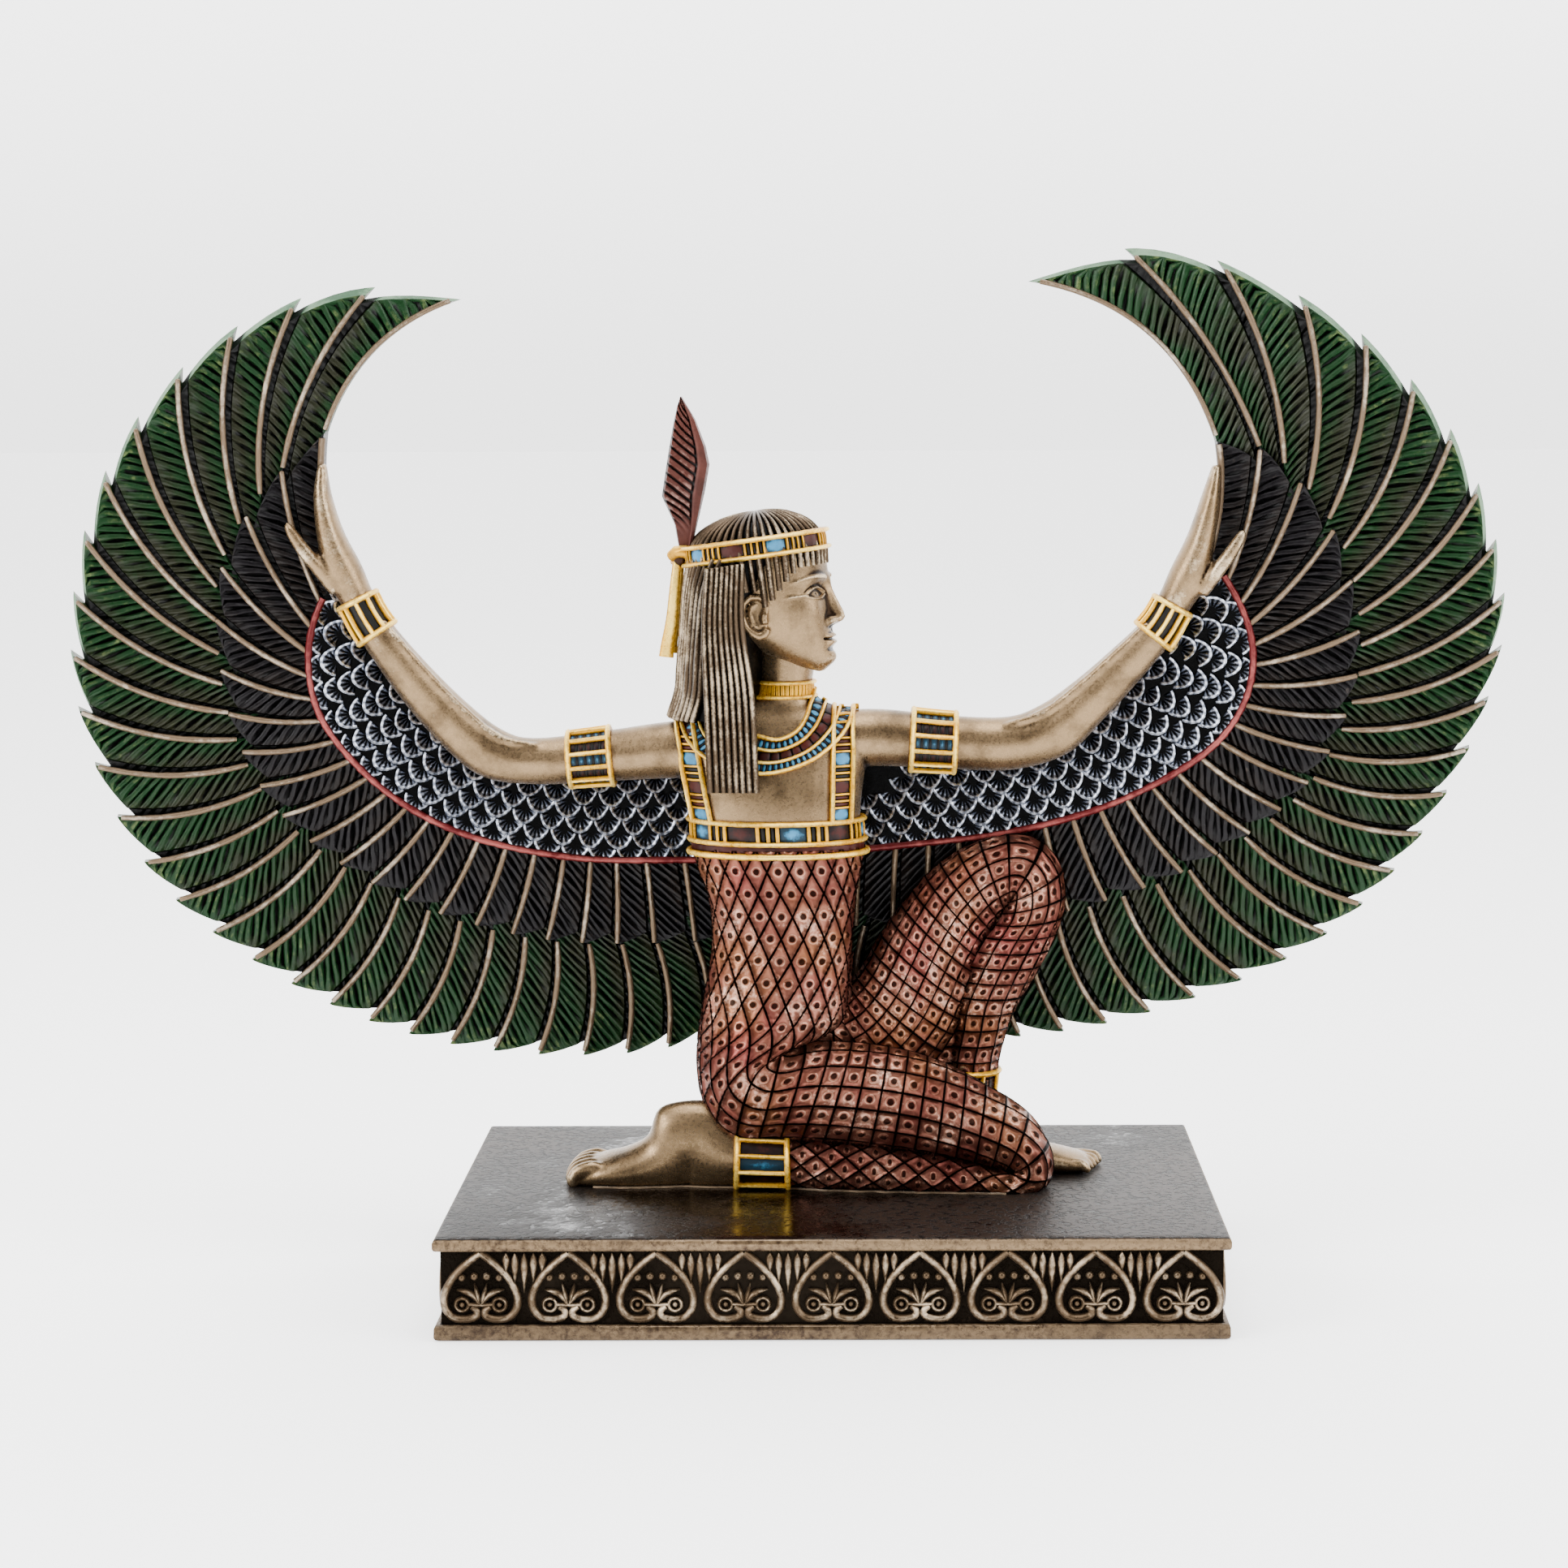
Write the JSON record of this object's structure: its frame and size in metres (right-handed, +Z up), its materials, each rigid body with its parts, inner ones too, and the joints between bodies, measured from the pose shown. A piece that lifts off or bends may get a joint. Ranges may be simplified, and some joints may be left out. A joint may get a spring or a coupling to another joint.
{
  "type": "winged maat figure",
  "caption": "Kneeling winged goddess in bronze-finished resin, arms spread along two curved feathered wings, on a rectangular plinth with a heart frieze.",
  "frame": {"origin": "centre of the plinth's underside", "axes": "+X along the plinth's long side, the way the figure faces; +Y to the back of the wings; +Z up"},
  "size_m": [0.2407, 0.08, 0.1753],
  "materials": {
    "figure_bronze": "bronze-powder resin skin, satin, darker in the hollows",
    "plinth_bronze": "dark bronze-powder resin, glossy and finely pitted, edges rubbed lighter",
    "feather_green": "dark green paint dry-brushed lighter on the barbs, black in the grooves, beige shafts",
    "feather_black": "near-black paint with grey-brown brushing and beige shafts",
    "scale_silver": "black paint dry-brushed with silver blue-grey",
    "cord_red": "dark red paint, satin",
    "dress_copper": "metallic copper-red paint with dark brown net lines, satin",
    "hair_bronze": "grey-bronze, light beige on the strands and dark between them",
    "jewel_gold": "ochre gold paint with sky-blue, brown-red and black cells",
    "plume_brown": "red-brown paint, darker between the barbs, beige shaft"
  },
  "bodies": {
    "root": {"winged_figure": "figure_bronze", "plinth": "plinth_bronze"}
  },
  "joints": []
}
